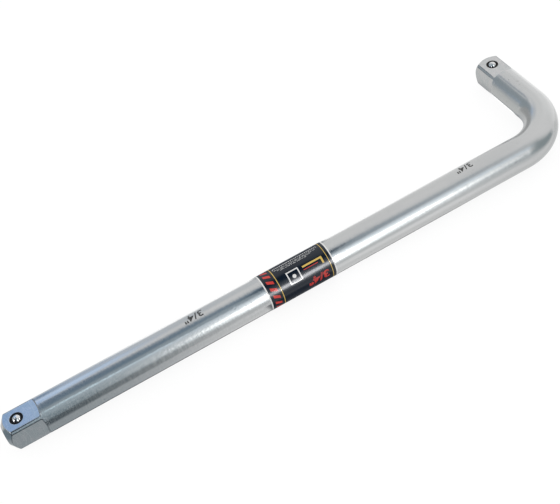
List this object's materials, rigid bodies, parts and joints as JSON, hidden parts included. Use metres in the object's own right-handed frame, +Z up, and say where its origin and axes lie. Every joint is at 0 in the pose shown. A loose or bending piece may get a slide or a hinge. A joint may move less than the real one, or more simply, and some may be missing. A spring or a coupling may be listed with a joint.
{
  "type": "l-shaped breaker bar",
  "caption": "Round steel bar bent to a right angle, with a milled square drive and a sprung detent ball on each end and a label wrapped round the long arm.",
  "frame": {"origin": "middle of the bounding box in X and Y, at the lowest point of the label in Z", "axes": "+X along the long arm from its tip towards the bend, +Y along the short arm towards its tip, +Z up from the side the bar lies on, out of the flats that hold the balls"},
  "size_m": [0.45, 0.1066, 0.0253],
  "materials": {
    "bar_steel": "satin plated steel",
    "ball_steel": "polished",
    "spring_steel": "drawn wire",
    "label_film": "glossy printed film"
  },
  "bodies": {
    "bar": {"shank": "bar_steel", "long_end_spring": "spring_steel", "short_end_spring": "spring_steel", "label_sleeve": "label_film"},
    "long_detent": {"long_end_ball": "ball_steel"},
    "short_detent": {"short_end_ball": "ball_steel"}
  },
  "joints": [
    {"name": "long_ball_press", "type": "slide", "parent": "bar", "child": "long_detent", "axis": [0, 0, -1], "range_m": [0, 0.0017], "stiffness_N_per_m": 2000, "springref_m": -0.003, "deforming": ["long_end_spring"]},
    {"name": "short_ball_press", "type": "slide", "parent": "bar", "child": "short_detent", "axis": [0, 0, -1], "range_m": [0, 0.0017], "stiffness_N_per_m": 2000, "springref_m": -0.003, "deforming": ["short_end_spring"]}
  ]
}
